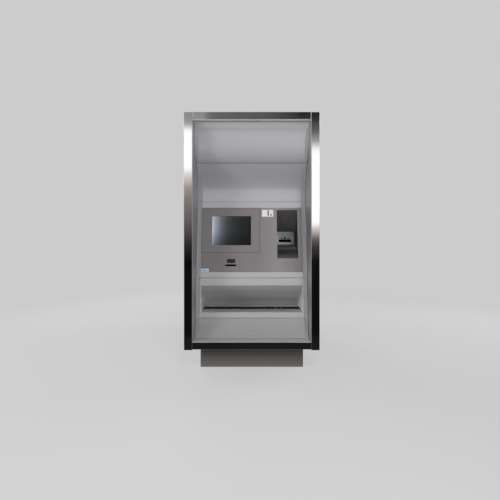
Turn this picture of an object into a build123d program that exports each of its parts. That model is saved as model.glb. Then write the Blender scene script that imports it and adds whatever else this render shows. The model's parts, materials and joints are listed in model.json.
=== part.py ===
from build123d import *
from math import cos, pi, radians, sin, tan
import os

# Through-the-wall cash machine, in millimetres. X runs to the right as a user sees it, Z runs up and
# Y runs back into the machine. Depths are measured back from the front plane of the wall surround.
# The origin is the centre of the four anchor holes, on the underside of the chest.

# ---- wall surround and its lining ----
surround_width = 750
surround_base = 132            # height of the surround's lower edge above the floor
surround_depth = 28
plinth_front = 120             # depth of the plinth's face
post_face = 48                 # post and lip together
bar_face = 46                  # bar and lip together
bottom_bar_raise = 4           # the lower bar stops this far above the feet of the posts
bar_joint = 0.6                # gap between a bar and a post
sheet = 2                      # folded steel of the surround, plinth and cabinet
lining = 3                     # lining plates; their front edges are the bright lip
lining_end = 440               # depth of the lining's back edge and of the chest's front

# ---- moulded recess ----
mould_half = 309               # half width at the moulding's surface
mould_wall = 5                 # thickness front to back
side_wall = 4                  # thickness of the side walls, across
mould_gap = 1.5                # dark joint round the moulding and between its sections
hood_depth = 110
hood_height = 131              # upright face of the hood
hood_bend_top = 1271
hood_bend_end = (1206, 137.5)  # height and depth where the hood's bend meets the ceiling
ceiling_angle = 46             # from the vertical
fascia_tilt = 11.5             # from the vertical
panel_low = 550                # height and depth of the control panel's lower edge
panel_low_depth = 190
panel_height = 404             # along the slope
seam_hood = 1198
seam_ceiling = 984
seam_panel = 515
seam_tray = 280
tray_plane_end = (256, 147)    # height and depth where the apron starts to sweep forward
apron_middle = (207, 107)
apron_depth = 75               # depth of the apron's lower edge
ceiling_fillet = 55
side_edge_top = 58             # depth of the side walls' front edge at the top of the recess
side_edge = [(1290, 60), (1238, 86), (1195, 130), (1125, 184), (1070, 206), (1000, 208)]
side_edge_panel = 125          # its depth at the seam below the panel, then down to the apron
side_edge_tray = 99
side_edge_apron = (215, 80)
side_edge_end = 56

# ---- control panel: sizes along the slope start at the panel's lower edge ----
panel_gap = 0.6
backing = 3                    # mounting plate behind the panel
screen_plate_right = 49
screen_plate_low = 120
aperture = (-247, -5, 166, 351)        # left, right, low, high
glass_lap = 8
display_depth = 35
receipt_plate = (-181, -72, 0, 87)
receipt_plate_proud = 1
receipt_slot = (-159, -96, 36, 44)
receipt_pane = (-151, -101, 55, 80)
pane_gap = 0.1
label = (63, 134, 347, 392)
label_thick = 0.5
stripe = (-308, -261, 1, 20)
screw_radius = 2
screw_head_radius = 4
screw_head = 3
screw_places = [(-280, 60), (-280, 100), (90, 60), (90, 300), (140, 30), (294, 380)]

# ---- card entry ----
niche = (156, 283, 84, 390)
niche_wall = 3
niche_depth = 85
niche_back = (172, 270)        # low and high edge of the niche's back wall
niche_step = 23                # depth of the step under the bezel
niche_step_low = 150
bezel = (160, 268, 179, 265)
bezel_depth = 23
card_width = 54
mouth_width = 79
mouth_height = 14
mouth_centre = (209, 206)
throat_height = 5
throat_side = 1.5
shutter_lap = 1
card_shutter_thick = 1.3
card_shutter_travel = 8.2
reader_gap = 11                # between the card reader and the chest
reader_half = 22               # half height of the reader
reader_side = 18               # reader casing beyond the throat, each side

# ---- cash tray ----
tray_half = 304
tray_floor = 315
tray_lip_depth = 156
tray_top = 471
tray_top_depth = 177
tray_back = 409
tray_wall = 2
floor_sheet = 3
pocket_front = 246
pocket_back = 345
pocket_wall = 3
pocket_floor = 236
pocket_round = 14
note_shutter_drop = 6          # shutter's top face below the tray floor
note_shutter_thick = 3
note_shutter_gap = 1
guide_places = (151, 189)
guide_width = 6
note_slot = (-90, 90, 250, 290)
duct_wall = 4

# ---- receipt printer and paper ----
printer = (-183, -70, 0, 92)
printer_depth = 120
paper_channel = 60
roll_place = (640, 375)        # height and depth of the roll's axis
roll_radius = 46
roll_width = 58
spindle_radius = 8
roll_clearance = 0.08
printer_arm = 4

# ---- chest, at the back of the lining ----
body_half = 300
chest_height = 780
chest_depth = 700
chest_wall = 20
anchor_x = 440
anchor_y = 460
anchor_radius = 9
cable_hole_radius = 20
cable_hole = (200, 700)        # across and back
door_gap = 1
chest_door_thick = 25
door_plug = 13
plug_gap = 5
hinge_offset = 8
pin_radius = 6
knuckle_radius = 8
knuckle_length = 40
knuckle_gap = 0.5              # between the door's knuckle and the fixed one below it
hinge_plate = 4                # half thickness of the plates that carry the knuckles
hinge_standoff = 12            # hinge axis behind the door's inner face
strap_ends = (40, 14)          # fixed strap on the body's side, measured forward of its back edge
pin_clearance = 0.06
chest_hinges = (150, 620)
handle_place = (120, 390)      # across and up
handle_shaft = 10
shaft_clearance = 0.06
lever_length = 110
lever_width = 22
lever_thick = 12
boss_radius = 18
boss_length = 22
bolt_throw = 24
bolt_radius = 8.5
bolt_length = 47
bolt_heights = (180, 390, 600)
bolt_bar_x = 205
bolt_bar = 20                  # width and thickness of the bar
rack_gap = 0.3
guide_block = 16
guide_gap = 3                  # between the thrown bar and its guides
dial_place = (120, 520)
dial_radius = 38
dial_length = 24
dial_shaft = 6
lock_case = 80

# ---- note dispenser ----
cassette_width = 210
cassette_height = 120
cassette_rear_gap = 80         # from the cassettes' rear ends to the chest's back
cassette_pitch = 135
cassette_start = 560           # depth of the cassettes' front
cassette_low = 40
cassette_count = 4
reject_height = 100
frame_side_gap = 7
frame_plate = 6
shelf = 5
frame_top = 745
frame_front = 480

# ---- upper cabinet ----
cabinet_top = 1400
computer = (-250, -20, 700, 90, 350)       # left, right, front, gap at the back, height
supply = (40, 180, 760, 140, 110)
cabinet_door_depth = 20
cabinet_hinges = (880, 1260)
cam_place = (255, 1090)
cam_radius = 14
cam_shaft = 5
cam_length = 38
inlet_place = (115, 850)       # ahead of the cabinet's back, and up
inlet_flange = (50, 40)
inlet_body = (28, 24)

# ---- places that follow from the sizes above ----
chest_back = lining_end + chest_depth
y_front = -(lining_end + chest_depth / 2)
opening_half = surround_width / 2 - post_face
opening_low = surround_base + bar_face
opening_high = hood_bend_top + hood_height
surround_top = opening_high + bar_face
fascia_slope = tan(radians(fascia_tilt))
panel_sheet = mould_wall * cos(radians(fascia_tilt))
panel_back = panel_sheet + backing
web_inner = tray_half + tray_wall
web_outer = mould_half + 1
shaft_hole = handle_shaft + shaft_clearance
hinge_x = -(body_half + hinge_offset)
pinion_radius = bolt_throw / (pi / 2)
edge_half = opening_half - mould_gap - side_wall
cassette_length = chest_back - cassette_rear_gap - cassette_start
inlet = (chest_back - inlet_place[0], inlet_place[1])
guide_x = bolt_bar_x + bolt_bar + bolt_throw + guide_gap

panel_place = Plane(
    origin=(0, y_front + panel_low_depth, panel_low),
    x_dir=(1, 0, 0),
    z_dir=(0, -cos(radians(fascia_tilt)), sin(radians(fascia_tilt))),
).location


# ---- plain shapes ----
def block(x0, x1, d0, d1, z0, z1):
    """A box between two depths behind the surround's front plane."""
    middle = Pos((x0 + x1) / 2, y_front + (d0 + d1) / 2, (z0 + z1) / 2)
    return middle * Box(x1 - x0, d1 - d0, z1 - z0)


def panel_block(x0, x1, low, high, back, front):
    """A box on the control panel: along the slope, and out from the panel's face."""
    middle = Pos((x0 + x1) / 2, (low + high) / 2, (back + front) / 2)
    return panel_place * middle * Box(x1 - x0, high - low, front - back)


def rod_x(x0, x1, depth, z, radius):
    """A round bar across the machine."""
    return Pos((x0 + x1) / 2, y_front + depth, z) * Rot(0, 90, 0) * Cylinder(radius, x1 - x0)


def rod_y(x, d0, d1, z, radius):
    """A round bar from front to back."""
    return Pos(x, y_front + (d0 + d1) / 2, z) * Rot(90, 0, 0) * Cylinder(radius, d1 - d0)


def rod_z(x, depth, z0, z1, radius):
    """An upright round bar."""
    return Pos(x, y_front + depth, (z0 + z1) / 2) * Cylinder(radius, z1 - z0)


def pan(x0, x1, d0, d1, z0, z1):
    """A folded pan: a face and four returned edges, open at the back."""
    hollow = block(x0 + sheet, x1 - sheet, d0 + sheet, d1 + 1, z0 + sheet, z1 - sheet)
    return block(x0, x1, d0, d1, z0, z1) - hollow


def point(z, depth, x=0):
    return Vector(x, y_front + depth, z)


def prism(corners, x0, x1):
    """A solid between two X places over an outline of (height, depth) corners."""
    face = make_face(Polyline(*[point(z, d, x0) for z, d in corners], close=True))
    return extrude(face, amount=x1 - x0, dir=(1, 0, 0))


# ---- the recess's two outlines ----
def fascia_depth(z):
    return panel_low_depth + (z - panel_low) * fascia_slope


def surface_edges(x, shift):
    """The moulded surface from hood to apron, as edges at one X place."""
    ceiling_slope = tan(radians(ceiling_angle))
    z_bend, d_bend = hood_bend_end
    vertex_z = (d_bend - panel_low_depth + z_bend * ceiling_slope + panel_low * fascia_slope)
    vertex_z = vertex_z / (ceiling_slope + fascia_slope)
    half_turn = radians(ceiling_angle + fascia_tilt) / 2
    trim = ceiling_fillet * tan(half_turn)
    up = (vertex_z + trim * cos(radians(ceiling_angle)),
          fascia_depth(vertex_z) - trim * sin(radians(ceiling_angle)))
    down = (vertex_z - trim * cos(radians(fascia_tilt)),
            fascia_depth(vertex_z) - trim * sin(radians(fascia_tilt)))
    reach = ceiling_fillet / cos(half_turn) - ceiling_fillet
    bisector = radians((ceiling_angle - fascia_tilt) / 2)
    mid = (vertex_z - reach * sin(bisector), fascia_depth(vertex_z) - reach * cos(bisector))
    hood_turn = radians(ceiling_angle) / 2
    hood_radius = (hood_bend_top - z_bend) / sin(radians(ceiling_angle))
    hood_mid = (hood_bend_top - hood_radius * sin(hood_turn),
                hood_depth + (d_bend - hood_depth) * (1 - cos(hood_turn)) / (1 - cos(2 * hood_turn)))
    places = {
        "top": (opening_high, hood_depth),
        "bend": (hood_bend_top, hood_depth),
        "bend_mid": hood_mid,
        "bend_end": hood_bend_end,
        "up": up,
        "mid": mid,
        "down": down,
        "panel": (seam_panel, fascia_depth(seam_panel)),
        "tray": tray_plane_end,
        "apron": apron_middle,
        "end": (opening_low, apron_depth),
    }
    at = {name: point(z, d + shift, x) for name, (z, d) in places.items()}
    return [
        Line(at["top"], at["bend"]),
        ThreePointArc(at["bend"], at["bend_mid"], at["bend_end"]),
        Line(at["bend_end"], at["up"]),
        ThreePointArc(at["up"], at["mid"], at["down"]),
        Line(at["down"], at["panel"]),
        Line(at["panel"], at["tray"]),
        ThreePointArc(at["tray"], at["apron"], at["end"]),
    ]


def edge_edges(x, shift):
    """The front edge of the side walls, which runs in gentler bends than the surface."""
    bends = [(opening_high, side_edge_top)] + side_edge
    bends += [(seam_panel, side_edge_panel), (tray_plane_end[0], side_edge_tray), side_edge_apron,
              (opening_low, side_edge_end)]
    at = [point(z, d + shift, x) for z, d in bends]
    return [
        Line(at[0], at[1]),
        ThreePointArc(at[1], at[2], at[3]),
        Line(at[3], at[4]),
        ThreePointArc(at[4], at[5], at[6]),
        Line(at[6], at[7]),
        Line(at[7], at[8]),
        ThreePointArc(at[8], at[9], at[10]),
    ]


def air_face(edges, x, front=-60):
    """The face of the air in front of a run of edges."""
    start = edges[0] @ 0
    end = edges[-1] @ 1
    top = point(start.Z, front, x)
    low = point(end.Z, front, x)
    closed = [Line(end, low), Line(low, top), Line(top, start)]
    return Face(Wire([e.edge() for e in edges + closed]))


def recess(half, edge, shift):
    """The recess as a solid: straight across the surface, opening out at both sides."""
    middle = extrude(air_face(surface_edges(-half, shift), -half), amount=2 * half, dir=(1, 0, 0))
    flare = loft([air_face(surface_edges(half, shift), half), air_face(edge_edges(edge, shift), edge)],
                 ruled=True)
    return middle + flare + mirror(flare, about=Plane.YZ)


def mouldings():
    """The whole moulding with its openings, still in one piece."""
    outer = recess(mould_half + side_wall, edge_half + side_wall, mould_wall)
    inner = recess(mould_half, edge_half, 0)
    front = extrude(air_face(edge_edges(-opening_half - 1, 0), -opening_half - 1),
                    amount=2 * opening_half + 2, dir=(1, 0, 0))
    body = outer - inner - front
    body -= panel_block(-mould_half, mould_half, 0, panel_height, -20, 20)
    body -= tray_wedge(tray_wall, tray_lip_depth - 60)
    body -= block(-tray_half, tray_half, tray_lip_depth - 60, pocket_front, tray_floor - floor_sheet,
                  tray_floor + 1)
    return body


def section(body, low, high):
    """One section of the moulding, between two seams."""
    half_gap = mould_gap / 2
    return body & block(-400, 400, 0, 600, low + half_gap, high - half_gap)


# ---- surround, lining and plinth ----
def posts():
    inner = opening_half + lining
    right = pan(inner, surround_width / 2, 0, surround_depth, surround_base, surround_top)
    return mirror(right, about=Plane.YZ), right


def bars():
    half = opening_half + lining - bar_joint
    top = pan(-half, half, 0, surround_depth, opening_high + lining, surround_top)
    low = pan(-half, half, 0, surround_depth, surround_base + bottom_bar_raise, opening_low - lining)
    return top, low


def lining_sides():
    inner = opening_half
    outer = inner + lining
    back = lining_end - lining
    plate = block(inner, outer, 0, back, opening_low - lining, opening_high + lining)
    flange = block(outer, surround_width / 2, surround_depth, surround_depth + lining,
                   surround_base, surround_top)
    right = plate + flange
    return mirror(right, about=Plane.YZ), right


def lining_ends():
    half = opening_half
    back = lining_end - lining
    wide = opening_half + lining
    top = block(-half, half, 0, back, opening_high, opening_high + lining)
    top += block(-wide, wide, surround_depth, surround_depth + lining, opening_high + lining, surround_top)
    low = block(-half, half, 0, back, opening_low - lining, opening_low)
    low += block(-wide, wide, surround_depth, surround_depth + lining,
                 surround_base + bottom_bar_raise, opening_low - lining)
    return top, low


def lining_rear_flange():
    half = opening_half + lining
    plate = block(-half, half, lining_end - lining, lining_end, opening_low - lining, opening_high + lining)
    window = block(-body_half + 10, body_half - 10, lining_end - 10, lining_end + 1,
                   opening_low + 20, opening_high - 20)
    return plate - window


def plinth():
    return pan(-body_half, body_half, plinth_front, lining_end, 0, opening_low - lining)


def support_webs():
    """Upright plates from the moulding's back to the lining's rear flange."""
    edges = surface_edges(web_inner, mould_wall)
    back = lining_end - lining
    start = edges[0] @ 0
    end = edges[-1] @ 1
    rear_top = point(start.Z, back, web_inner)
    rear_low = point(end.Z, back, web_inner)
    closed = [Line(end, rear_low), Line(rear_low, rear_top), Line(rear_top, start)]
    face = Face(Wire([e.edge() for e in edges + closed]))
    right = extrude(face, amount=web_outer - web_inner, dir=(1, 0, 0))
    return right + mirror(right, about=Plane.YZ)


# ---- control panel ----
def control_panel():
    half = mould_half - panel_gap
    plate = panel_block(-half, half, panel_gap, panel_height - panel_gap, -panel_sheet, 0)
    plate -= panel_block(-half - 1, screen_plate_right + panel_gap, screen_plate_low - panel_gap,
                         panel_height, -20, 20)
    plate -= panel_block(*niche, -20, 20)
    plate -= panel_block(*receipt_plate, -20, 20)
    return plate - screws(screw_radius, panel_sheet - 2, 0)


def screws(radius, depth, head):
    """Screws from behind through the mounting plate into the panel."""
    group = Part()
    for x, up in screw_places:
        middle = Pos(x, up, -panel_back + (backing + depth) / 2)
        group += panel_place * middle * Cylinder(radius, backing + depth)
        if head:
            group += panel_place * Pos(x, up, -panel_back - head / 2) * Cylinder(screw_head_radius, head)
    return group


def screen_plate():
    plate = panel_block(-mould_half + panel_gap, screen_plate_right, screen_plate_low,
                        panel_height - panel_gap, -panel_sheet, 0)
    return plate - panel_block(*aperture, -20, 20) - screws(screw_radius, panel_sheet - 2, 0)


def grown(area, by):
    x0, x1, low, high = area
    return x0 - by, x1 + by, low - by, high + by


def mounting_plate():
    plate = panel_block(-web_inner + panel_gap, web_inner - panel_gap, -12, panel_height + 12,
                        -panel_back, -panel_sheet)
    plate -= panel_block(*grown(aperture, glass_lap), -20, 20)
    plate -= panel_block(*grown(niche, niche_wall), -20, 20)
    plate -= panel_block(*grown(receipt_slot, 3), -20, 20)
    plate -= panel_block(*grown(receipt_pane, 3), -20, 20)
    return plate - screws(screw_radius, 1, 0)


def touch_glass():
    return panel_block(*grown(aperture, glass_lap - pane_gap), -panel_back, -panel_sheet)


def display_module():
    return panel_block(*grown(aperture, glass_lap + 7), -panel_back - display_depth, -panel_back)


def receipt_parts():
    x0, x1, low, high = receipt_plate
    plate = panel_block(x0 + panel_gap, x1 - panel_gap, low + panel_gap, high - panel_gap,
                        -panel_sheet, receipt_plate_proud)
    plate -= panel_block(*receipt_slot, -20, 20)
    plate -= panel_block(*receipt_pane, -20, 20)
    pane = panel_block(*grown(receipt_pane, -pane_gap), -panel_sheet, 0)
    return plate, pane


def receipt_printer():
    x0, x1, low, high = printer
    case = panel_block(x0, x1, low, high, -panel_back - printer_depth, -panel_back)
    case -= panel_block(*receipt_slot, -panel_back - paper_channel, 0)
    z, depth = roll_place
    inner = roll_width / 2 + 4
    middle = (x0 + x1) / 2
    for side in (-1, 1):
        a = middle + side * inner
        b = a + side * printer_arm
        arm = block(min(a, b), max(a, b), depth - 75, depth + 14, z - 40, z + 14)
        case += arm - rod_x(min(a, b) - 1, max(a, b) + 1, depth, z, spindle_radius)
    return case


def paper_parts():
    z, depth = roll_place
    x0, x1 = printer[0], printer[1]
    middle = (x0 + x1) / 2
    inner = roll_width / 2 + 4
    spindle = rod_x(middle - inner - printer_arm, middle + inner + printer_arm, depth, z, spindle_radius)
    half = roll_width / 2
    roll = rod_x(middle - half, middle + half, depth, z, roll_radius)
    roll -= rod_x(middle - half - 1, middle + half + 1, depth, z, spindle_radius + roll_clearance)
    return spindle, roll


# ---- card entry ----
def niche_outline(by):
    """Outline of the niche seen from the side, grown by a wall."""
    low, high = niche[2], niche[3]
    back = -niche_depth
    step = back + niche_step
    corners = [(high, 20), (high, -panel_sheet), (niche_back[1], back), (niche_back[0], back),
               (niche_back[0], step), (niche_step_low, step), (low, -panel_sheet), (low, 20)]
    face = make_face(Polyline(*[(z, w) for z, w in corners], close=True))
    return offset(face, amount=by, kind=Kind.INTERSECTION) if by else face


def niche_solid(x0, x1, by):
    """The niche's outline stretched across, standing on the panel."""
    stand = panel_place * Location(Plane(origin=(x0, 0, 0), x_dir=(0, 1, 0), z_dir=(1, 0, 0)))
    return stand * extrude(niche_outline(by), amount=x1 - x0)


def niche_liner():
    x0, x1 = niche[0], niche[1]
    shell = niche_solid(x0 - niche_wall, x1 + niche_wall, niche_wall) - niche_solid(x0, x1, 0)
    shell -= panel_block(x0 - 20, x1 + 20, 0, 500, -panel_sheet, 60)
    return shell - shutter_slot()


def throat(extra=0):
    """Half sizes of the card's way in."""
    return card_width / 2 + throat_side + extra, throat_height / 2 + extra


def shutter_slot():
    x, up = mouth_centre
    half_x, half_up = throat(0)
    return panel_block(x - half_x - 5, x + half_x + 5, up - half_up - card_shutter_travel - 2.3,
                       up + half_up + 4, -niche_depth - niche_wall - 1, -niche_depth + 0.01)


def card_bezel():
    x0, x1, low, high = bezel
    body = panel_block(x0, x1, low, high, -niche_depth, -niche_depth + bezel_depth)
    body = fillet(body.edges().group_by(Axis((0, 0, 0), panel_place.z_axis.direction))[-1], 3)
    x, up = mouth_centre
    half_x, half_up = throat(0)
    front = panel_place * Pos(x, up, -niche_depth + bezel_depth + 0.01) * Rectangle(mouth_width, mouth_height)
    back = panel_place * Pos(x, up, -niche_depth - 0.01) * Rectangle(2 * half_x, 2 * half_up)
    return body - loft([front.face(), back.face()], ruled=True)


def card_shutter():
    x, up = mouth_centre
    half_x, half_up = throat(shutter_lap)
    middle = -niche_depth - niche_wall / 2
    return panel_block(x - half_x - 2, x + half_x + 2, up - half_up, up + half_up + 1,
                       middle - card_shutter_thick / 2, middle + card_shutter_thick / 2)


def card_reader():
    x, up = mouth_centre
    half_x, half_up = throat(0)
    face = -niche_depth - niche_wall
    lean = radians(fascia_tilt)
    room = lining_end - reader_gap - panel_low_depth - (up + reader_half) * sin(lean) + face * cos(lean)
    length = room / cos(lean)
    case = panel_block(x - half_x - reader_side, x + half_x + reader_side, up - reader_half,
                       up + reader_half, face - length, face)
    return case - panel_block(x - half_x, x + half_x, up - half_up, up + half_up,
                              face - length * 0.8, face + 1)


# ---- cash tray ----
def tray_wedge(wall, front):
    """The tray's space under its sloping ceiling, grown by a wall, from a chosen front depth."""
    slope = (tray_top - tray_floor) / (tray_back - tray_top_depth)
    rise = wall * (1 + slope ** 2) ** 0.5
    corners = [(tray_floor, front), (tray_floor, tray_back + rise / slope),
               (tray_top + rise, tray_top_depth), (tray_top + rise, front)]
    return prism(corners, -tray_half - wall, tray_half + wall)


def tray_liner():
    shell = tray_wedge(tray_wall, 100) - tray_wedge(0, 99)
    lean = (tray_top_depth - tray_lip_depth) / (tray_top - tray_floor)
    top = tray_top + 40
    ahead = [(tray_floor - 5, 50), (tray_floor - 5, tray_lip_depth - 5 * lean),
             (top, tray_lip_depth + (top - tray_floor) * lean), (top, 50)]
    return shell - prism(ahead, -400, 400)


def floor_parts():
    low = tray_floor - floor_sheet
    sill = block(-tray_half, tray_half, tray_lip_depth, pocket_front, low, tray_floor)
    strip = block(-tray_half, tray_half, pocket_back, tray_back, low, tray_floor)
    return sill, strip


def note_pocket():
    box = block(-tray_half, tray_half, pocket_front, pocket_back, pocket_floor, tray_floor)
    inner = block(-tray_half + pocket_wall, tray_half - pocket_wall, pocket_front + pocket_wall,
                  pocket_back - pocket_wall, pocket_floor + pocket_wall, tray_floor + 1)
    box -= fillet(inner.edges().filter_by(Axis.Z), pocket_round)
    top = tray_floor - note_shutter_drop
    half = tray_half - pocket_wall - note_shutter_gap + 0.5
    box -= block(-half, half, pocket_back - pocket_wall - pocket_round, pocket_back + 1,
                 top - note_shutter_thick - 0.5, top + 0.5)
    x0, x1, z0, z1 = note_slot
    return box - block(x0, x1, pocket_back - pocket_wall - 1, pocket_back + 1, z0, z1)


def note_shutter():
    half = tray_half - pocket_wall - note_shutter_gap
    top = tray_floor - note_shutter_drop
    plate = block(-half, half, pocket_front + pocket_wall + note_shutter_gap,
                  pocket_back - pocket_wall - note_shutter_gap, top - note_shutter_thick, top)
    return fillet(plate.edges().filter_by(Axis.Z), pocket_round)


def note_guides():
    group = Part()
    for x in guide_places:
        group += block(x - guide_width / 2, x + guide_width / 2, pocket_front + pocket_wall,
                       pocket_back - pocket_wall, tray_floor - note_shutter_drop + 1, tray_floor)
    return group


def note_duct():
    x0, x1, z0, z1 = note_slot
    tube = block(x0 - duct_wall, x1 + duct_wall, pocket_back, lining_end, z0 - duct_wall, z1 + duct_wall)
    return tube - block(x0, x1, pocket_back - 1, lining_end + 1, z0, z1)


# ---- chest ----
def chest_shell():
    shell = block(-body_half, body_half, lining_end, chest_back, 0, chest_height)
    shell -= block(-body_half + chest_wall, body_half - chest_wall, lining_end + chest_wall,
                   chest_back + 1, chest_wall, chest_height - chest_wall)
    for side_x in (-1, 1):
        for side_y in (-1, 1):
            depth = lining_end + chest_depth / 2 + side_y * anchor_y / 2
            shell -= rod_z(side_x * anchor_x / 2, depth, -1, chest_wall + 1, anchor_radius)
    x0, x1, z0, z1 = note_slot
    shell -= block(x0, x1, lining_end - 1, lining_end + chest_wall + 1, z0, z1)
    shell -= rod_z(*cable_hole, chest_height - chest_wall - 1, chest_height + 1, cable_hole_radius)
    for z in bolt_heights:
        reach = bolt_bar_x + bolt_bar + bolt_length + bolt_throw
        shell -= rod_x(body_half - chest_wall - 1, reach + 1.5, bolt_depth(), z, bolt_radius + 1)
    for z in chest_hinges:
        shell += fixed_knuckle(z)
    return shell


def bolt_depth():
    return chest_back - door_plug - 15


def hinge_depth():
    return chest_back + door_gap + hinge_standoff


def fixed_knuckle(z):
    """The half of a hinge below z, with the strap that ties it to the side of the body."""
    low = z - knuckle_length
    front, back = chest_back - strap_ends[0], chest_back - strap_ends[1]
    half = rod_z(hinge_x, hinge_depth(), low, z, knuckle_radius)
    half += block(hinge_x - hinge_plate, hinge_x + hinge_plate, front, hinge_depth(), low, z)
    half += block(hinge_x, -body_half, front, back, low, z)
    return half - rod_z(hinge_x, hinge_depth(), low - 1, z + 1, pin_radius)


def door_knuckle(z):
    """The half of a hinge above z, with the plate that ties it to the door's edge."""
    low, high = z + knuckle_gap, z + knuckle_length
    half = rod_z(hinge_x, hinge_depth(), low, high, knuckle_radius)
    half += block(hinge_x, -body_half + door_gap, hinge_depth() - hinge_plate,
                  hinge_depth() + hinge_plate, low, high)
    return half - rod_z(hinge_x, hinge_depth(), low - 1, high + 1, pin_radius + pin_clearance)


def hinge_pins():
    group = Part()
    for z in chest_hinges + cabinet_hinges:
        group += rod_z(hinge_x, hinge_depth(), z - knuckle_length, z + knuckle_length, pin_radius)
    return group


def chest_door():
    front = chest_back + door_gap
    door = block(-body_half + door_gap, body_half - door_gap, front, front + chest_door_thick,
                 door_gap, chest_height - door_gap)
    inset = chest_wall + plug_gap
    plug_face = chest_back - door_plug
    door += block(-body_half + inset, body_half - inset, plug_face, front, inset, chest_height - inset)
    for z in bolt_heights:
        guide = block(guide_x, guide_x + guide_block, bolt_depth() - 16, plug_face, z - 18, z + 18)
        door += guide - rod_x(guide_x - 1, guide_x + guide_block + 1, bolt_depth(), z,
                              bolt_radius + shaft_clearance)
    x, z = handle_place
    door -= rod_y(x, plug_face - 1, front + chest_door_thick + 1, z, shaft_hole)
    x, z = dial_place
    door -= rod_y(x, plug_face - 1, front + chest_door_thick + 1, z, dial_shaft + shaft_clearance)
    for z in chest_hinges:
        door += door_knuckle(z)
    return door


def chest_handle():
    x, z = handle_place
    outer = chest_back + door_gap + chest_door_thick
    plug_face = chest_back - door_plug
    shaft = rod_y(x, plug_face - 20, outer + boss_length, z, handle_shaft)
    boss = rod_y(x, outer + 0.5, outer + boss_length, z, boss_radius)
    lever = block(x - lever_width / 2, x + lever_width / 2, outer + boss_length - lever_thick,
                  outer + boss_length, z - lever_length, z)
    pinion = rod_y(x, plug_face - 20, plug_face - 8, z, pinion_radius)
    return shaft + boss + lever + pinion


def bolt_bar_part():
    plug_face = chest_back - door_plug
    x1 = bolt_bar_x + bolt_bar
    bar = block(bolt_bar_x, x1, bolt_depth() - bolt_bar / 2, bolt_depth() + bolt_bar / 2,
                bolt_heights[0] - 30, bolt_heights[-1] + 30)
    for z in bolt_heights:
        bar += rod_x(x1, x1 + bolt_length, bolt_depth(), z, bolt_radius)
    x, z = handle_place
    low = z + pinion_radius + rack_gap
    return bar + block(x - 10, bolt_bar_x, plug_face - 20, plug_face - 8, low, low + 12)


def lock_dial():
    x, z = dial_place
    outer = chest_back + door_gap + chest_door_thick
    knob = rod_y(x, outer + 0.5, outer + dial_length, z, dial_radius)
    knob = chamfer(knob.edges().group_by(Axis.Y)[-1], 4)
    return knob + rod_y(x, chest_back - door_plug + 2, outer + 1, z, dial_shaft)


def lock_case_part():
    x, z = dial_place
    face = chest_back - door_plug
    half = lock_case / 2
    return block(x - half, x + half, face - 25, face, z - half, z + half)


# ---- note dispenser ----
def cassette_part(level, height):
    """A cassette with a grip recess in its rear end and a lid line at its front."""
    half = cassette_width / 2
    low = cassette_low + level * cassette_pitch
    end = cassette_start + cassette_length
    body = block(-half, half, cassette_start, end, low, low + height)
    body -= block(-60, 60, end - 25, end + 1, low + height * 0.35, low + height * 0.75)
    return body - block(-half + 15, half - 15, cassette_start - 1, cassette_start + 6, low + 20,
                        low + height - 20)


def dispenser_frame():
    inner = cassette_width / 2 + frame_side_gap
    outer = inner + frame_plate
    back = cassette_start + cassette_length + 10
    right = block(inner, outer, frame_front, back, chest_wall, frame_top)
    frame = right + mirror(right, about=Plane.YZ)
    for level in range(cassette_count + 1):
        top = cassette_low + level * cassette_pitch
        frame += block(-inner, inner, cassette_start, back, top - shelf, top)
    return frame


def pick_tower():
    inner = cassette_width / 2 + frame_side_gap
    tower = block(-inner, inner, frame_front, cassette_start - 6, cassette_low, frame_top - 5)
    x0, x1, z0, z1 = note_slot
    return tower - block(x0, x1, frame_front - 1, frame_front + 30, z0, z1)


# ---- upper cabinet ----
def cabinet_shell():
    shell = block(-body_half, body_half, lining_end, chest_back, chest_height, cabinet_top)
    shell -= block(-body_half + sheet, body_half - sheet, lining_end - 1, chest_back + 1,
                   chest_height + sheet, cabinet_top - sheet)
    shell -= rod_z(*cable_hole, chest_height - 1, chest_height + sheet + 1, cable_hole_radius)
    depth, z = inlet
    half_d, half_z = inlet_body[0] / 2, inlet_body[1] / 2
    shell -= block(body_half - 5, body_half + 1, depth - half_d, depth + half_d, z - half_z, z + half_z)
    for z in cabinet_hinges:
        shell += fixed_knuckle(z)
    return shell


def cabinet_door():
    front = chest_back + door_gap
    back = front + cabinet_door_depth
    door = block(-body_half + door_gap, body_half - door_gap, front, back,
                 chest_height + door_gap, cabinet_top - door_gap)
    rim = door_gap + sheet
    door -= block(-body_half + rim, body_half - rim, front - 1, back - sheet,
                  chest_height + rim, cabinet_top - rim)
    x, z = cam_place
    door -= rod_y(x, back - sheet - 1, back + 1, z, cam_shaft + shaft_clearance)
    for z in cabinet_hinges:
        door += door_knuckle(z)
    return door


def cabinet_lock():
    x, z = cam_place
    back = chest_back + door_gap + cabinet_door_depth
    knob = rod_y(x, back + 0.3, back + 12, z, cam_radius)
    shaft = rod_y(x, back - 16, back + 1, z, cam_shaft)
    cam = block(x - 8, x + 8, back - 16, back - 12, z - 8, z + cam_length)
    return knob + shaft + cam


def equipment_case(x0, x1, d0, gap, height):
    """A sheet case on the cabinet's floor, open towards the front, with a shallow recess at its back."""
    floor = chest_height + sheet
    d1 = chest_back - gap
    case = block(x0, x1, d0, d1, floor, floor + height)
    case -= block(x0 + sheet, x1 - sheet, d0 - 1, d1 - 12, floor + sheet, floor + height - sheet)
    return case - block(x0 + 20, x1 - 20, d1 - 8, d1 + 1, floor + 20, floor + height - 20)


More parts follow.
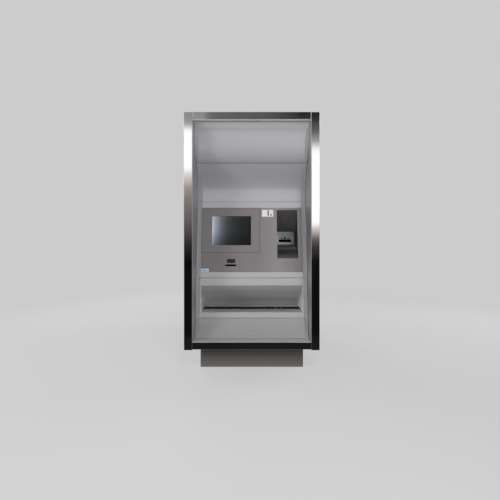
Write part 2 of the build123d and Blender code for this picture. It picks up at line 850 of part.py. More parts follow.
def mains_inlet():
    depth, z = inlet
    half_d, half_z = inlet_body[0] / 2, inlet_body[1] / 2
    flange = block(body_half, body_half + 2, depth - inlet_flange[0] / 2, depth + inlet_flange[0] / 2,
                   z - inlet_flange[1] / 2, z + inlet_flange[1] / 2)
    body = block(body_half - 24, body_half, depth - half_d, depth + half_d, z - half_z, z + half_z)
    socket = block(body_half - 18, body_half + 3, depth - half_d + 3, depth + half_d - 3,
                   z - half_z + 3, z + half_z - 3)
    pins = Part()
    for shift_d, shift_z in ((-7, -2), (0, 4), (7, -2)):
        pins += block(body_half - 18, body_half - 2, depth + shift_d - 1, depth + shift_d + 1,
                      z + shift_z - 2, z + shift_z + 2)
    return flange + body - socket + pins


# ---- the whole machine ----
def build():
    parts = {}
    parts["left_frame_post"], parts["right_frame_post"] = posts()
    parts["top_frame_bar"], parts["bottom_frame_bar"] = bars()
    parts["left_lining_plate"], parts["right_lining_plate"] = lining_sides()
    parts["top_lining_plate"], parts["bottom_lining_plate"] = lining_ends()
    parts["lining_rear_flange"] = lining_rear_flange()
    parts["plinth_box"] = plinth()
    parts["fascia_support_webs"] = support_webs()
    body = mouldings()
    parts["hood_panel"] = section(body, seam_hood, opening_high)
    parts["hood_ceiling"] = section(body, seam_ceiling, seam_hood)
    parts["panel_surround"] = section(body, seam_panel, seam_ceiling)
    parts["tray_surround"] = section(body, seam_tray, seam_panel)
    parts["lower_apron"] = section(body, opening_low, seam_tray)
    parts["control_panel"] = control_panel()
    parts["screen_plate"] = screen_plate()
    parts["panel_mounting_plate"] = mounting_plate()
    parts["panel_screws"] = screws(screw_radius, panel_sheet - 2, screw_head)
    parts["touch_glass"] = touch_glass()
    parts["display_module"] = display_module()
    parts["receipt_plate"], parts["receipt_window"] = receipt_parts()
    parts["receipt_printer"] = receipt_printer()
    parts["paper_spindle"], parts["paper_roll"] = paper_parts()
    parts["instruction_label"] = panel_block(*label, 0, label_thick)
    parts["corner_stripe"] = panel_block(*stripe, 0, label_thick)
    parts["niche_liner"] = niche_liner()
    parts["card_bezel"] = card_bezel()
    parts["card_shutter"] = card_shutter()
    parts["card_reader"] = card_reader()
    parts["tray_liner"] = tray_liner()
    parts["tray_sill"], parts["rear_floor_strip"] = floor_parts()
    parts["note_pocket"] = note_pocket()
    parts["note_shutter"] = note_shutter()
    parts["note_guide_bars"] = note_guides()
    parts["note_transport_duct"] = note_duct()
    parts["chest_shell"] = chest_shell()
    parts["door_hinge_pins"] = hinge_pins()
    parts["chest_door"] = chest_door()
    parts["chest_handle"] = chest_handle()
    parts["bolt_bar"] = bolt_bar_part()
    parts["lock_dial"] = lock_dial()
    parts["lock_case"] = lock_case_part()
    parts["dispenser_frame"] = dispenser_frame()
    parts["note_pick_tower"] = pick_tower()
    for level in range(cassette_count):
        parts[f"cash_cassette_{level + 1}"] = cassette_part(level, cassette_height)
    parts["reject_cassette"] = cassette_part(cassette_count, reject_height)
    parts["cabinet_shell"] = cabinet_shell()
    parts["cabinet_door"] = cabinet_door()
    parts["cabinet_lock"] = cabinet_lock()
    parts["computer_unit"] = equipment_case(*computer)
    parts["power_supply"] = equipment_case(*supply)
    parts["mains_inlet"] = mains_inlet()
    return parts


os.makedirs("parts", exist_ok=True)
machine = build()
for name, shape in machine.items():
    export_step(shape, f"parts/{name}.step")
print(len(machine), "nodes written")
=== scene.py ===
# %% [markdown]
# A cash machine built into a wall: a polished steel surround, a deep grey moulded recess with a
# tilted control panel, a cash tray, and a steel chest and cabinet behind. The CAD model is the frame
# that everything is placed by. Loading it first means that no size has to be guessed again.

# %% Load the frame
import json
from math import pi, radians
import bmesh
import bpy
from mathutils import Matrix, Vector


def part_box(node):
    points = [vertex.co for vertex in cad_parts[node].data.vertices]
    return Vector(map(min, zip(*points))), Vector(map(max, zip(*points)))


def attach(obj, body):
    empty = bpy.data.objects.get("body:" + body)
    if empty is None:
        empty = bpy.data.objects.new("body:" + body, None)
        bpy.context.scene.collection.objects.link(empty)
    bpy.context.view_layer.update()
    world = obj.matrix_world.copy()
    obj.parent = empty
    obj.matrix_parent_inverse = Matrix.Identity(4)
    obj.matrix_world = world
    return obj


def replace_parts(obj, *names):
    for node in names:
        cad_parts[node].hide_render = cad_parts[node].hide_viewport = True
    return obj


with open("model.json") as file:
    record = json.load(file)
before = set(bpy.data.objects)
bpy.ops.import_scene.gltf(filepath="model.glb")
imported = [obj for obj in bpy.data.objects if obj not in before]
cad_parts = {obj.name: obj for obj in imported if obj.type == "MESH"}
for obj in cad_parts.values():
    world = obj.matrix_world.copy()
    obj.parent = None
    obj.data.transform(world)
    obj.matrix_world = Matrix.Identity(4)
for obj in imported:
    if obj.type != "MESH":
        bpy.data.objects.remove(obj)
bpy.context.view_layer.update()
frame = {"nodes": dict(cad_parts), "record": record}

MM = 0.001

# %% [markdown]
# The camera stands straight in front, two metres from the surround and level with its middle. A wide
# lens keeps the deep perspective of the recess. The surround's box gives the front plane.

# %% Camera
post_low, post_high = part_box("left_frame_post")
front = post_low.y
scene = bpy.context.scene
camera = bpy.data.objects.new("front_camera", bpy.data.cameras.new("front_camera"))
scene.collection.objects.link(camera)
camera.location = (0, front - 2.0, 0.7134)
camera.rotation_euler = (radians(90), 0, 0)
camera.data.sensor_width = 36
camera.data.lens = 26.07
camera.data.shift_x = -0.0036
camera.data.shift_y = -0.010
scene.camera = camera
scene.view_settings.view_transform = "Standard"
print("camera at", tuple(round(v, 3) for v in camera.location))

# %% [markdown]
# Every finish and glow below is a small tree of shader nodes. Four short helpers add a node with its
# values, fill a colour ramp, join nodes and start a material, so that the values stay easy to read.

# %% Helpers for shader nodes
def add_node(tree, kind, values=(), **settings):
    """Adds a shader node, then its settings, then its input values."""
    node = tree.nodes.new("ShaderNode" + kind)
    for name, value in settings.items():
        setattr(node, name, value)
    for name, value in dict(values).items():
        node.inputs[name].default_value = value
    return node


def add_ramp(tree, stops, interpolation="LINEAR"):
    """Adds a colour ramp; each stop is (part of the way, red, green and blue)."""
    node = add_node(tree, "ValToRGB")
    node.color_ramp.interpolation = interpolation
    for number, (at, colour) in enumerate(stops):
        if number > 1:
            node.color_ramp.elements.new(1.0)
        node.color_ramp.elements[number].position = at
        node.color_ramp.elements[number].color = (*colour, 1)
    return node


def join(tree, *links):
    """Joins nodes; each link is (from node, its output, to node, its input)."""
    for source, output, target, entry in links:
        tree.links.new(source.outputs[output], target.inputs[entry])


def empty_material(name):
    mat = bpy.data.materials.new(name)
    mat.use_nodes = True
    mat.node_tree.nodes.clear()
    return mat


print("four node helpers ready")

# %% [markdown]
# Polished metal shows the room more than it shows itself, so the studio has two layers. Soft area
# lights shade the paint and plastic, and reflections leave out the four that stand in front. The
# world is grey to look at but dark in reflections.

# %% Studio light
def world_colours(seen, ambient, mirrored, mirrored_aside):
    """One grey to look at, one that lights, and one in reflections, dark in front."""
    world = bpy.data.worlds.new("studio")
    scene.world = world
    world.use_nodes = True
    tree = world.node_tree
    tree.nodes.clear()
    paths = add_node(tree, "LightPath")
    direction = add_node(tree, "TexCoord")
    split = add_node(tree, "SeparateXYZ")
    aside = add_node(tree, "MapRange", {"From Min": -0.88, "From Max": -0.68, "To Min": mirrored,
                                        "To Max": mirrored_aside}, interpolation_type="SMOOTHSTEP")
    lit, mirror, shown = (add_node(tree, "Background", {"Color": (grey, grey, grey * 1.01, 1)})
                          for grey in (ambient, mirrored, seen))
    by_mirror = add_node(tree, "MixShader")
    by_eye = add_node(tree, "MixShader")
    output = add_node(tree, "OutputWorld")
    join(tree, (direction, "Generated", split, 0), (split, "Y", aside, "Value"),
         (aside, 0, mirror, "Color"), (paths, "Is Glossy Ray", by_mirror, "Fac"),
         (lit, 0, by_mirror, 1), (mirror, 0, by_mirror, 2),
         (paths, "Is Camera Ray", by_eye, "Fac"), (by_mirror, 0, by_eye, 1),
         (shown, 0, by_eye, 2), (by_eye, 0, output, "Surface"))


def area_light(name, place, aim, size, power, glossy):
    """A soft rectangular light; glossy says whether reflections show it."""
    light = bpy.data.lights.new(name, "AREA")
    light.shape = "RECTANGLE"
    light.size, light.size_y = size
    light.energy = power
    lamp = bpy.data.objects.new(name, light)
    lamp.location = place
    lamp.rotation_euler = (Vector(aim) - Vector(place)).to_track_quat("-Z", "Y").to_euler()
    lamp.visible_glossy = glossy
    scene.collection.objects.link(lamp)


background_grey = 0.604
world_colours(background_grey, 0.13, 0.007, 0.42)
for name, place, aim, size, power, glossy in (
        ("key_high", (0.35, front - 1.9, 1.75), (0, front + 0.2, 0.75), (0.6, 0.8), 27, False),
        ("fill_low", (0.6, front - 2.1, 0.35), (0, front + 0.2, 0.6), (1.0, 0.4), 10, False),
        ("fill_left", (-2.1, front - 1.8, 1.1), (0.2, front + 0.2, 0.9), (0.8, 0.8), 24, False),
        ("low_left", (-2.3, front - 0.62, 0.35), (0, front + 0.3, 0.2), (0.6, 0.5), 5, False),
        ("back_soft", (-1.6, front + 4.2, 2.4), (0, front + 1.0, 0.8), (1.6, 1.6), 95, True),
        ("side_right", (3.2, front + 1.4, 2.0), (0, front + 0.8, 0.8), (1.6, 1.6), 70, True),
        ("side_left", (-3.2, front + 1.0, 2.2), (0, front + 0.8, 0.8), (1.6, 1.6), 45, True)):
    area_light(name, place, aim, size, power, glossy)
print("seven soft lights")

# %% [markdown]
# The second layer is for the steel: two tall glowing cards beside the camera and two dim ones above
# and below it, seen only by reflections. Their brightness changes along their length, which gives
# each post its white band between dark ends.

# %% Glowing cards for the steel
card_distance = 2.0
card_strength = 1.85
rosy_below = 1.5


def glow_card(name, x0, x1, z0, z1, stops, axis="Z"):
    """A card seen only in reflections; each stop is (place along the axis, brightness)."""
    bm = bmesh.new()
    bmesh.ops.create_grid(bm, x_segments=1, y_segments=1, size=0.5)
    bmesh.ops.rotate(bm, verts=bm.verts, matrix=Matrix.Rotation(radians(90), 3, "X"))
    bmesh.ops.scale(bm, verts=bm.verts, vec=(x1 - x0, 1, z1 - z0))
    middle = ((x0 + x1) / 2, front - card_distance, (z0 + z1) / 2)
    bmesh.ops.translate(bm, verts=bm.verts, vec=middle)
    mesh = bpy.data.meshes.new(name)
    bm.to_mesh(mesh)
    bm.free()
    card = bpy.data.objects.new(name, mesh)
    scene.collection.objects.link(card)
    card.visible_camera = False
    card.visible_diffuse = False
    card.visible_shadow = False
    glow = empty_material(name)
    tree = glow.node_tree
    start, end = (z0, z1) if axis == "Z" else (x0, x1)
    colours = []
    for at, bright in stops:
        rosy = 0.11 if axis == "Z" and at < rosy_below and bright < 1 else 0
        tint = (1 + rosy, 1 - rosy * 0.4, 1 - rosy * 0.6)
        colours.append(((at - start) / (end - start), [bright * share for share in tint]))
    place = add_node(tree, "TexCoord")
    split = add_node(tree, "SeparateXYZ")
    spread = add_node(tree, "MapRange", {"From Min": start, "From Max": end})
    ramp = add_ramp(tree, colours, "EASE")
    emit = add_node(tree, "Emission", {"Strength": card_strength})
    output = add_node(tree, "OutputMaterial")
    join(tree, (place, "Object", split, 0), (split, axis, spread, "Value"),
         (spread, 0, ramp, "Fac"), (ramp, "Color", emit, "Color"), (emit, 0, output, "Surface"))
    mesh.materials.append(glow)


glow_card("card_left", -1.1, -0.5, 0.5, 2.3,
          [(0.5, 0.0), (0.70, 0.017), (0.88, 0.067), (0.99, 0.108), (1.155, 0.155), (1.32, 0.239),
           (1.487, 0.562), (1.565, 1.0), (1.973, 1.0), (2.05, 0.253), (2.3, 0.239)])
glow_card("card_right", 0.5, 1.1, 0.5, 2.3,
          [(0.5, 0.0), (0.659, 0.02), (0.769, 0.063), (0.879, 0.436), (0.96, 1.0), (1.74, 1.0),
           (1.873, 0.253), (1.983, 0.081), (2.15, 0.013), (2.3, 0.006)])
glow_card("card_top", -0.5, 0.5, 2.05, 2.4, [(-0.5, 0.119), (0.1, 0.091), (0.5, 0.042)], "X")
glow_card("card_low", -0.8, 0.8, -0.8, -0.3, [(-0.8, 0.01), (0.8, 0.01)], "X")
print("four glowing cards")

# %% [markdown]
# The floor is a pale disc under the machine. It glows a little so that it meets the grey behind it
# without a horizon, and it fades out at its rim. Soft contact shadows still fall on it.

# %% Floor
floor_radius = 7.0
floor_mesh = bpy.data.meshes.new("studio_floor")
bm = bmesh.new()
bmesh.ops.create_circle(bm, cap_ends=True, segments=96, radius=floor_radius)
bm.to_mesh(floor_mesh)
bm.free()
floor = bpy.data.objects.new("studio_floor", floor_mesh)
scene.collection.objects.link(floor)
floor.location.z = -0.0005
floor.visible_glossy = False


def floor_material():
    mat = empty_material("studio_floor")
    tree = mat.node_tree
    grey = (background_grey, background_grey, 0.61, 1)
    glow = add_node(tree, "Emission", {"Color": grey, "Strength": 0.76})
    matt = add_node(tree, "BsdfDiffuse", {"Color": (0.16, 0.16, 0.162, 1)})
    both = add_node(tree, "AddShader")
    clear = add_node(tree, "BsdfTransparent")
    mix = add_node(tree, "MixShader")
    place = add_node(tree, "TexCoord")
    length = add_node(tree, "VectorMath", operation="LENGTH")
    fade = add_node(tree, "MapRange", {"From Min": 1.6, "From Max": 3.6},
                    interpolation_type="SMOOTHSTEP")
    output = add_node(tree, "OutputMaterial")
    join(tree, (glow, 0, both, 0), (matt, 0, both, 1), (place, "Object", length, 0),
         (length, "Value", fade, "Value"), (fade, 0, mix, "Fac"), (both, 0, mix, 1),
         (clear, 0, mix, 2), (mix, 0, output, "Surface"))
    return mat


floor_mesh.materials.append(floor_material())
print("pale floor,", round(2 * floor_radius), "m across")

# %% [markdown]
# Every finish below is one Principled shader with two layers of noise. A large slow noise drifts the
# colour, as real paint and plastic do, and a fine one gives the grain: dots for moulded plastic,
# long streaks for brushed steel, orange peel for powder coat. The grain also drives the roughness.
# A second function paints shade and light into a finish's colour along one axis, standing in for
# how light falls across large parts.

# %% A finish maker
def finish(name, colour, rough, metallic=0.0, grain=900, stretch=(1, 1, 1), bump=0.15, drift=0.10,
           drift_scale=3.0, rough_drift=0.08, coat=0.0, specular=0.5, depth=0.0002):
    """A grained, slightly uneven finish; grain and drift_scale are how fine the two noises are."""
    mat = bpy.data.materials.new(name)
    mat.use_nodes = True
    tree = mat.node_tree
    shader = tree.nodes["Principled BSDF"]
    for socket, value in (("Metallic", metallic), ("Specular IOR Level", specular),
                          ("Coat Weight", coat), ("Coat Roughness", 0.12)):
        shader.inputs[socket].default_value = value
    darker, lighter = (tuple(min(c * share, 1) for c in colour) for share in (1 - drift, 1 + drift))
    place = add_node(tree, "TexCoord")
    mapping = add_node(tree, "Mapping", {"Scale": stretch})
    fine = add_node(tree, "TexNoise", {"Scale": grain, "Detail": 4})
    slow = add_node(tree, "TexNoise", {"Scale": drift_scale, "Detail": 3})
    ramp = add_ramp(tree, [(0.3, darker), (0.7, lighter)])
    speckle = add_node(tree, "Mix", {"Factor": 0.12}, data_type="RGBA", blend_type="OVERLAY")
    wear = add_node(tree, "MapRange", {"To Min": max(rough - rough_drift, 0.02),
                                       "To Max": rough + rough_drift})
    relief = add_node(tree, "Bump", {"Strength": bump, "Distance": depth})
    join(tree, (place, "Object", mapping, "Vector"), (mapping, "Vector", fine, "Vector"),
         (place, "Object", slow, "Vector"), (slow, "Fac", ramp, "Fac"),
         (ramp, "Color", speckle, "A"), (fine, "Color", speckle, "B"),
         (speckle, "Result", shader, "Base Color"), (fine, "Fac", wear, "Value"),
         (wear, 0, shader, "Roughness"), (fine, "Fac", relief, "Height"),
         (relief, "Normal", shader, "Normal"))
    return mat


def paint_shade_along(mat, axis, low, high, stops):
    """Paints shade into a finish's colour along one of the piece's own axes; stops are (part of the
    way, share).
    """
    tree = mat.node_tree
    shader = tree.nodes["Principled BSDF"]
    place = next(node for node in tree.nodes if node.type == "TEX_COORD")
    split = add_node(tree, "SeparateXYZ")
    spread = add_node(tree, "MapRange", {"From Min": low, "From Max": high})
    ramp = add_ramp(tree, [(at, (share, share, share)) for at, share in stops], "EASE")
    shaded = add_node(tree, "Mix", {"Factor": 1}, data_type="RGBA", blend_type="MULTIPLY")
    tree.links.new(shader.inputs["Base Color"].links[0].from_socket, shaded.inputs["A"])
    join(tree, (place, "Object", split, 0), (split, axis, spread, "Value"),
         (spread, 0, ramp, "Fac"), (ramp, "Color", shaded, "B"),
         (shaded, "Result", shader, "Base Color"))


print("finish maker ready")

# %% [markdown]
# The metals differ in how they are worked. Posts and bars are polished and keep a faint grain along
# their length, the lining is brushed sheet, and small fittings are zinc or chrome.

# %% Metal
upright_grain = (60, 60, 1)
level_grain = (1, 60, 60)
even_grain = (1, 1, 1)
surround_post_steel = finish("surround_post_steel", (0.56, 0.56, 0.565), 0.09, 1.0, 12,
                             upright_grain, 0.04, 0.03, rough_drift=0.03)
surround_bar_steel = finish("surround_bar_steel", (0.56, 0.56, 0.565), 0.10, 1.0, 12, level_grain,
                            0.04, 0.03, rough_drift=0.03)
bar_edge_steel = finish("bar_edge_steel", (0.46, 0.43, 0.41), 0.5, 0.35, 12, level_grain, 0.08,
                        0.04)
lining_steel = finish("lining_steel", (0.62, 0.62, 0.626), 0.42, 0.75, 10, upright_grain, 0.10,
                      0.05)
foot_steel = finish("foot_steel", (0.52, 0.505, 0.50), 0.5, 0.2, 12, level_grain, 0.10, 0.05)
sill_steel = finish("sill_steel", (0.50, 0.47, 0.44), 0.45, 0.35, 12, level_grain, 0.12, 0.06)
bare_sheet = finish("bare_sheet", (0.52, 0.53, 0.54), 0.36, 0.9, 60, even_grain, 0.06, 0.12, 14)
zinc_steel = finish("zinc_steel", (0.62, 0.61, 0.58), 0.30, 1.0, 300, even_grain, 0.05, 0.08, 20)
chrome_metal = finish("chrome_metal", (0.72, 0.72, 0.73), 0.12, 1.0, 200, even_grain, 0.03, 0.04,
                      20)
print("nine metal finishes ready")

# %% [markdown]
# The recess is one kind of moulded plastic, so one function makes it. Its copies differ in grey only
# as painted light and shade. The rest are other plastics, sprayed paint, printed film, paper and
# rubber.

# %% Plastic and paint
def coated(name, colour, rough, grain, bump, drift, **more):
    """A finish without metal in it."""
    return finish(name, colour, rough, 0, grain, bump=bump, drift=drift, **more)


def moulded(name, *colour):
    return coated(name, colour, 0.55, 1400, 0.18, 0.02, specular=0.25)


def film_print(name, *colour, drift=0.02):
    return coated(name, colour, 0.32, 500, 0.04, drift)


def tray_coat(name, *colour):
    return coated(name, colour, 0.5, 420, 0.28, 0.05)


# Painted light and shade: the cove copy is lightest and the apron copy darkest, for the light each
# part gets.
moulding = moulded("moulding", 0.485, 0.483, 0.503)
hood_moulding = moulded("hood_moulding", 0.352, 0.350, 0.366)
cove_moulding = moulded("cove_moulding", 0.58, 0.578, 0.60)
ceiling_moulding = moulded("ceiling_moulding", 0.42, 0.416, 0.434)
lower_moulding = moulded("lower_moulding", 0.395, 0.395, 0.397)
apron_moulding = moulded("apron_moulding", 0.315, 0.315, 0.32)
panel_plastic = coated("panel_plastic", (0.2375, 0.22, 0.225), 0.50, 1300, 0.20, 0.04)
niche_plastic = coated("niche_plastic", (0.090, 0.087, 0.088), 0.50, 1100, 0.22, 0.06,
                       specular=0.25)
bezel_plastic = finish("bezel_plastic", (0.235, 0.237, 0.24), 0.36, 0.25, 900, bump=0.08,
                       drift=0.04)
# Painted highlight: chin_plastic is a much lighter copy of the bezel's silver.
chin_plastic = finish("chin_plastic", (0.44, 0.44, 0.445), 0.36, 0.2, 900, bump=0.08, drift=0.04)
mouth_plastic = coated("mouth_plastic", (0.003, 0.003, 0.003), 0.7, 700, 0.05, 0.1, specular=0.05)
black_plastic = coated("black_plastic", (0.022, 0.022, 0.024), 0.42, 1000, 0.20, 0.12)
shutter_plastic = coated("shutter_plastic", (0.006, 0.006, 0.007), 0.28, 700, 0.06, 0.1)
dial_plastic = coated("dial_plastic", (0.03, 0.03, 0.033), 0.32, 900, 0.1, 0.08, coat=0.3)
cassette_plastic = coated("cassette_plastic", (0.045, 0.06, 0.10), 0.42, 800, 0.2, 0.08)
reject_plastic = coated("reject_plastic", (0.28, 0.035, 0.025), 0.42, 800, 0.2, 0.08)
tray_paint = tray_coat("tray_paint", 0.47, 0.465, 0.47)
# Painted light: ceiling_paint is a much lighter copy of tray_paint, for the tray's shaded ceiling.
ceiling_paint = tray_coat("ceiling_paint", 0.80, 0.795, 0.80)
plinth_paint = coated("plinth_paint", (0.135, 0.126, 0.115), 0.5, 420, 0.28, 0.04)
cabinet_paint = coated("cabinet_paint", (0.42, 0.42, 0.425), 0.46, 380, 0.30, 0.03)
chest_paint = finish("chest_paint", (0.155, 0.165, 0.18), 0.38, 0.1, 110, bump=0.55, drift=0.07,
                     drift_scale=9, depth=0.0006)
backing_paint = coated("backing_paint", (0.02, 0.02, 0.021), 0.6, 420, 0.25, 0.08)
label_film = film_print("label_film", 0.72, 0.70, 0.70)
stripe_film = film_print("stripe_film", 0.62, 0.68, 0.76)
stripe_blue = film_print("stripe_blue", 0.05, 0.22, 0.42, drift=0.03)
mark_ink = coated("mark_ink", (0.012, 0.012, 0.013), 0.6, 500, 0.04, 0.05, specular=0.1)
dark_pane = coated("dark_pane", (0.032, 0.032, 0.034), 0.08, 30, 0.01, 0.1, coat=0.6)
paper = finish("paper", (0.80, 0.79, 0.76), 0.85, 0, 60, (400, 2, 2), 0.12, 0.03)
rubber = coated("rubber", (0.015, 0.015, 0.015), 0.7, 900, 0.3, 0.1)
print("plastic, paint, film and rubber ready")

# %% [markdown]
# The screen is a dark display behind glass. Its glow is a painted reflection of a lamp at the left:
# pale lavender at the left that falls away to near black, dimmer near its foot. The glow is laid
# across the glass on the piece's own coordinates.

# %% Screen glass
def screen_glass():
    low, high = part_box("touch_glass")
    mat = bpy.data.materials.new("screen_glass")
    mat.use_nodes = True
    tree = mat.node_tree
    shader = tree.nodes["Principled BSDF"]
    for socket, value in (("Roughness", 0.08), ("Coat Weight", 0.5),
                          ("Base Color", (0.008, 0.008, 0.010, 1))):
        shader.inputs[socket].default_value = value
    place = add_node(tree, "TexCoord")
    split = add_node(tree, "SeparateXYZ")
    across = add_node(tree, "MapRange", {"From Min": low.x + 8 * MM, "From Max": high.x - 8 * MM})
    slow = add_node(tree, "TexNoise", {"Scale": 5})
    wander = add_node(tree, "Math", {1: 0.04}, operation="MULTIPLY_ADD")
    downward = add_node(tree, "MapRange", {"From Min": low.z + 5 * MM,
                                           "From Max": low.z + 0.6 * (high.z - low.z),
                                           "To Min": 0.38, "To Max": 0.95},
                        interpolation_type="SMOOTHSTEP")
    # Painted reflection: the lavender glow fades from the left, and its strength grows away from the
    # foot.
    ramp = add_ramp(tree, [(0.02, (0.47, 0.49, 0.60)), (0.08, (0.34, 0.36, 0.44)),
                           (0.16, (0.24, 0.25, 0.30)), (0.26, (0.122, 0.127, 0.150)),
                           (0.40, (0.056, 0.058, 0.064)), (0.55, (0.031, 0.033, 0.034)),
                           (0.75, (0.016, 0.018, 0.017)), (1.0, (0.009, 0.011, 0.010))])
    join(tree, (split, "Z", downward, "Value"), (downward, 0, shader, "Emission Strength"),
         (place, "Object", split, 0), (place, "Object", slow, "Vector"),
         (split, "X", across, "Value"), (slow, "Fac", wander, 0), (across, 0, wander, 2),
         (wander, 0, ramp, "Fac"), (ramp, "Color", shader, "Emission Color"))
    return mat


glass = screen_glass()
print("screen picture laid out")

# %% [markdown]
# CAD nodes have knife-sharp edges, which catch no light, and a real edge is always a little round.
# One helper copies a node, merges its loose triangles, takes out the edges inside flat faces and
# rounds the rest with a live Bevel modifier. The copy then stands for the node. Nodes deep inside
# keep their CAD mesh and only get a finish.

# %% Helpers for pieces
def body_of(node):
    return next(b for b, names in frame["record"]["behaviour"]["bodies"].items() if node in names)


def dress(node, mat):
    """Gives a CAD node its finish and keeps its mesh."""
    thing = frame["nodes"][node]
    thing.data.materials.clear()
    thing.data.materials.append(mat)


def add_piece(name, bm, mats, body, smooth=30):
    """Turns a bmesh into a finished piece that rides on a body."""
    bmesh.ops.recalc_face_normals(bm, faces=bm.faces)
    mesh = bpy.data.meshes.new(name)
    bm.to_mesh(mesh)
    bm.free()
    for mat in mats if isinstance(mats, (list, tuple)) else [mats]:
        mesh.materials.append(mat)
    mesh.shade_smooth()
    mesh.set_sharp_from_angle(angle=radians(smooth))
    piece = bpy.data.objects.new(name, mesh)
    scene.collection.objects.link(piece)
    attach(piece, body)
    return piece


def round_edges(piece, width, segments, angle=30):
    """Rounds every edge sharper than the angle, as a live modifier."""
    bevel = piece.modifiers.new("rounded_edges", "BEVEL")
    bevel.width = width
    bevel.segments = segments
    bevel.limit_method = "ANGLE"
    bevel.angle_limit = radians(angle)
    bevel.harden_normals = True


def soften(node, mat, width, segments=2, angle=40):
    """A rounded copy of a CAD node, which stands for it."""
    bm = bmesh.new()
    bm.from_mesh(frame["nodes"][node].data)
    bmesh.ops.remove_doubles(bm, verts=bm.verts, dist=1e-6)
    bmesh.ops.dissolve_limit(bm, angle_limit=radians(0.5), verts=bm.verts, edges=bm.edges)
    piece = add_piece(node + "_rounded", bm, mat, body_of(node), angle)
    round_edges(piece, width, segments, angle)
    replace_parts(piece, node)
    return piece


def move(bm, verts, way):
    bmesh.ops.translate(bm, verts=verts, vec=way)


def turn(bm, verts, matrix):
    bmesh.ops.rotate(bm, verts=verts, cent=(0, 0, 0), matrix=matrix)


def slab(bm, low, high, radius=0.0, segments=2):
    """A box between two corners, rounded if asked, added to a bmesh; returns its vertices."""
    low, high = Vector(low), Vector(high)
    made = bmesh.ops.create_cube(bm, size=1)["verts"]
    bmesh.ops.scale(bm, verts=made, vec=high - low)
    move(bm, made, (low + high) / 2)
    if not radius:
        return made
    edges = list({e for v in made for e in v.link_edges})
    rounded = bmesh.ops.bevel(bm, geom=made + edges, offset=radius, segments=segments, profile=0.5,
                              affect="EDGES", material=-1)
    return list({v for f in rounded["faces"] for v in f.verts} | {v for v in made if v.is_valid})


def disc(bm, centre, axis, radius, depth, segments=24, edge=0.0):
    """A short round bar whose far end lies depth along axis from centre."""
    made = bmesh.ops.create_cone(bm, cap_ends=True, segments=segments, radius1=radius,
                                 radius2=radius - edge, depth=depth)["verts"]
    turn(bm, made, Vector((0, 0, 1)).rotation_difference(Vector(axis)).to_matrix())
    move(bm, made, Vector(centre) + Vector(axis).normalized() * depth / 2)
    return made


def cut_through(bm, place, way, **keep):
    """Cuts a whole bmesh along a plane, so that what lies on each side is a face of its own."""
    bmesh.ops.bisect_plane(bm, geom=bm.verts[:] + bm.edges[:] + bm.faces[:], plane_co=place,
                           plane_no=way, **keep)


def new_points(extruded):
    """The vertices among what an extrusion made."""
    return [v for v in extruded["geom"] if isinstance(v, bmesh.types.BMVert)]


print("piece helpers ready")

# %% [markdown]
# The control panel leans back, so its small parts are modelled flat and laid onto the slope
# afterwards. Its lean and place are read from its own vertices: the nearest one is its lower front
# edge and the highest one its upper front edge.

# %% The panel's own frame
panel_points = [v.co for v in frame["nodes"]["control_panel"].data.vertices]
panel_foot = min(panel_points, key=lambda p: p.y)
panel_head = max(panel_points, key=lambda p: p.z)
slope_up = Vector((0, panel_head.y - panel_foot.y, panel_head.z - panel_foot.z)).normalized()
slope_out = Vector((1, 0, 0)).cross(slope_up)
on_panel = Matrix.Translation(Vector((0, panel_foot.y, panel_foot.z))) @ Matrix(
    ((1, slope_up.x, slope_out.x, 0), (0, slope_up.y, slope_out.y, 0),
     (0, slope_up.z, slope_out.z, 0), (0, 0, 0, 1)))
off_panel = on_panel.inverted()


def panel_box(node):
    """A CAD node's corners in the panel's frame."""
    points = [off_panel @ v.co for v in frame["nodes"][node].data.vertices]
    return (Vector([min(p[i] for p in points) for i in range(3)]),
            Vector([max(p[i] for p in points) for i in range(3)]))


def add_on_panel(name, bm, mats):
    """Lays what was modelled flat onto the slope and makes it a piece there."""
    bmesh.ops.transform(bm, matrix=on_panel, verts=bm.verts)
    return add_piece(name, bm, mats, "root_frame")


print("panel leans back", round(90 - slope_up.angle(Vector((0, 1, 0))) * 180 / pi, 2), "degrees")

# %% [markdown]
# The surround is polished sheet folded into pans, and the lining is plate whose front edge shows as
# a bright line round the opening. Their edges are rounded by about the sheet's thickness. The top
# bar is cut near its ends and foot, where polishing stops and a satin edge shows as a pale line.

# %% Surround and lining
folded_edge = 0.9 * MM
plate_edge = 0.6 * MM
satin_wide = 3.5 * MM
for node in ("left_frame_post", "right_frame_post"):
    soften(node, surround_post_steel, folded_edge, 3)
soften("bottom_frame_bar", surround_bar_steel, folded_edge, 3)
bar = soften("top_frame_bar", surround_bar_steel, folded_edge, 3)
bar.data.materials.append(bar_edge_steel)
bar_low, bar_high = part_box("top_frame_bar")
bm = bmesh.new()
bm.from_mesh(bar.data)
cut_through(bm, (bar_low.x + satin_wide, 0, 0), (1, 0, 0))
cut_through(bm, (bar_high.x - satin_wide, 0, 0), (1, 0, 0))
cut_through(bm, (0, 0, bar_low.z + satin_wide), (0, 0, 1))
for face in bm.faces:
    at = face.calc_center_median()
    if abs(at.x) > bar_high.x - satin_wide or at.z < bar_low.z + satin_wide:
        face.material_index = 1
bm.to_mesh(bar.data)
bm.free()
# Painted light: the lining is painted lighter near its top.
paint_shade_along(lining_steel, "Z", post_low.z, post_high.z, [(0, 0.8), (0.6, 0.8), (0.9, 1)])
for node in ("left_lining_plate", "right_lining_plate", "top_lining_plate"):
    soften(node, lining_steel, plate_edge)
soften("bottom_lining_plate", foot_steel, plate_edge)
dress("lining_rear_flange", lining_steel)
print("surround", round((bar_high.x - bar_low.x) / MM), "mm wide, and lining rounded")
